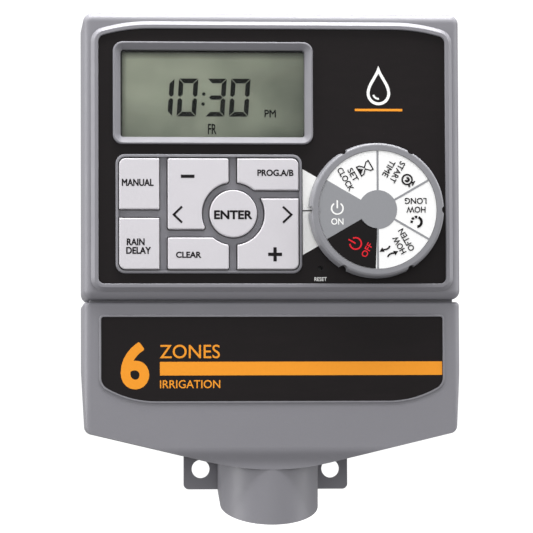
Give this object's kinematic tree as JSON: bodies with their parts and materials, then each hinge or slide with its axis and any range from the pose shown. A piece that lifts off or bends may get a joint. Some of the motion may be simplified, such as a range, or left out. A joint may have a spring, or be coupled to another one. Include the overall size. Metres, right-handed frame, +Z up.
{
  "type": "irrigation controller",
  "caption": "Wall-mounted irrigation controller: grey casing with display, keypad and rotary dial above a slide-off terminal cover with a cable spout.",
  "frame": {"origin": "on the wall plane, on the casing's centre line, level with the seam between housing and terminal cover", "axes": "+Z up, +X to the user's right when facing the front, +Y into the wall; the front faces -Y"},
  "size_m": [0.1418, 0.048, 0.1921],
  "materials": {
    "grey_housing": "fine moulded texture",
    "grey_dial": "fine moulded texture",
    "key_plastic": "satin",
    "black_overlay": "satin printed film",
    "clear_window": "clear",
    "lcd_glass": "grey green display",
    "dial_print": "printed disc",
    "white_holder": "satin",
    "contact_rubber": "soft",
    "keypad_silicone": "soft",
    "carbon_rubber": "matte",
    "black_plastic": "satin",
    "contact_brass": "bright",
    "circuit_board": "solder mask",
    "tinned_metal": "bright",
    "screw_steel": "zinc plated",
    "capacitor_sleeve": "shrink sleeve",
    "terminal_green": "satin",
    "varistor_blue": "dipped",
    "battery_case": "printed can",
    "lead_insulation": "satin",
    "ribbon_grey": "satin"
  },
  "bodies": {
    "casing": {"front_housing": "grey_housing", "rear_housing": "grey_housing", "front_overlay": "black_overlay", "lcd_window": "clear_window", "lcd_panel": "lcd_glass", "lcd_holder": "white_holder", "contact_strips": "contact_rubber", "keypad_mat": "keypad_silicone", "carbon_pills": "carbon_rubber", "rotary_switch": "black_plastic", "reset_switch": "black_plastic", "main_board": "circuit_board", "microcontroller": "black_plastic", "crystal": "tinned_metal", "capacitors": "capacitor_sleeve", "terminal_board": "circuit_board", "terminal_block": "terminal_green", "terminal_screws": "screw_steel", "wire_clamps": "tinned_metal", "triacs": "black_plastic", "varistor": "varistor_blue", "battery": "battery_case", "battery_clip": "black_plastic", "battery_leads": "lead_insulation", "ribbon_headers": "black_plastic", "ribbon_cable": "ribbon_grey", "housing_screws": "screw_steel", "main_board_screws": "screw_steel", "terminal_board_screws": "screw_steel"},
    "cover": {"terminal_cover": "grey_housing", "cover_label": "black_overlay"},
    "dial": {"dial_knob": "grey_dial", "dial_insert": "dial_print", "switch_shaft": "white_holder", "switch_wiper": "contact_brass"},
    "reset": {"reset_plunger": "black_plastic"},
    "manual_button": {"manual_key": "key_plastic"},
    "rain_delay_button": {"rain_delay_key": "key_plastic"},
    "clear_button": {"clear_key": "key_plastic"},
    "program_button": {"program_key": "key_plastic"},
    "enter_button": {"enter_key": "key_plastic"},
    "minus_left_button": {"minus_left_key": "key_plastic"},
    "right_plus_button": {"right_plus_key": "key_plastic"}
  },
  "joints": [
    {"name": "cover_slide", "type": "slide", "parent": "casing", "child": "cover", "axis": [0, 0, -1], "range_m": [0, 0.08]},
    {"name": "dial_turn", "type": "hinge", "parent": "casing", "child": "dial", "pos_m": [0.0389, 0, 0.0337], "axis": [0, 1, 0], "continuous": true},
    {"name": "reset_press", "type": "slide", "parent": "casing", "child": "reset", "axis": [0, 1, 0], "range_m": [0, 0.00025], "stiffness_N_per_m": 3000},
    {"name": "manual_press", "type": "slide", "parent": "casing", "child": "manual_button", "axis": [0, 1, 0], "range_m": [0, 0.0008], "stiffness_N_per_m": 1200},
    {"name": "rain_delay_press", "type": "slide", "parent": "casing", "child": "rain_delay_button", "axis": [0, 1, 0], "range_m": [0, 0.0008], "stiffness_N_per_m": 1200},
    {"name": "clear_press", "type": "slide", "parent": "casing", "child": "clear_button", "axis": [0, 1, 0], "range_m": [0, 0.0008], "stiffness_N_per_m": 1200},
    {"name": "program_press", "type": "slide", "parent": "casing", "child": "program_button", "axis": [0, 1, 0], "range_m": [0, 0.0008], "stiffness_N_per_m": 1200},
    {"name": "enter_press", "type": "slide", "parent": "casing", "child": "enter_button", "axis": [0, 1, 0], "range_m": [0, 0.0008], "stiffness_N_per_m": 1200, "deforming": ["keypad_mat"]},
    {"name": "minus_left_rock", "type": "hinge", "parent": "casing", "child": "minus_left_button", "pos_m": [-0.028, -0.0393, 0.0396], "axis": [1, 0, 0], "range_deg": [-2.5, 2.5], "stiffness_Nm_per_rad": 0.12},
    {"name": "right_plus_rock", "type": "hinge", "parent": "casing", "child": "right_plus_button", "pos_m": [-0.0018, -0.0393, 0.02525], "axis": [1, 0, 0], "range_deg": [-2.5, 2.5], "stiffness_Nm_per_rad": 0.12}
  ]
}
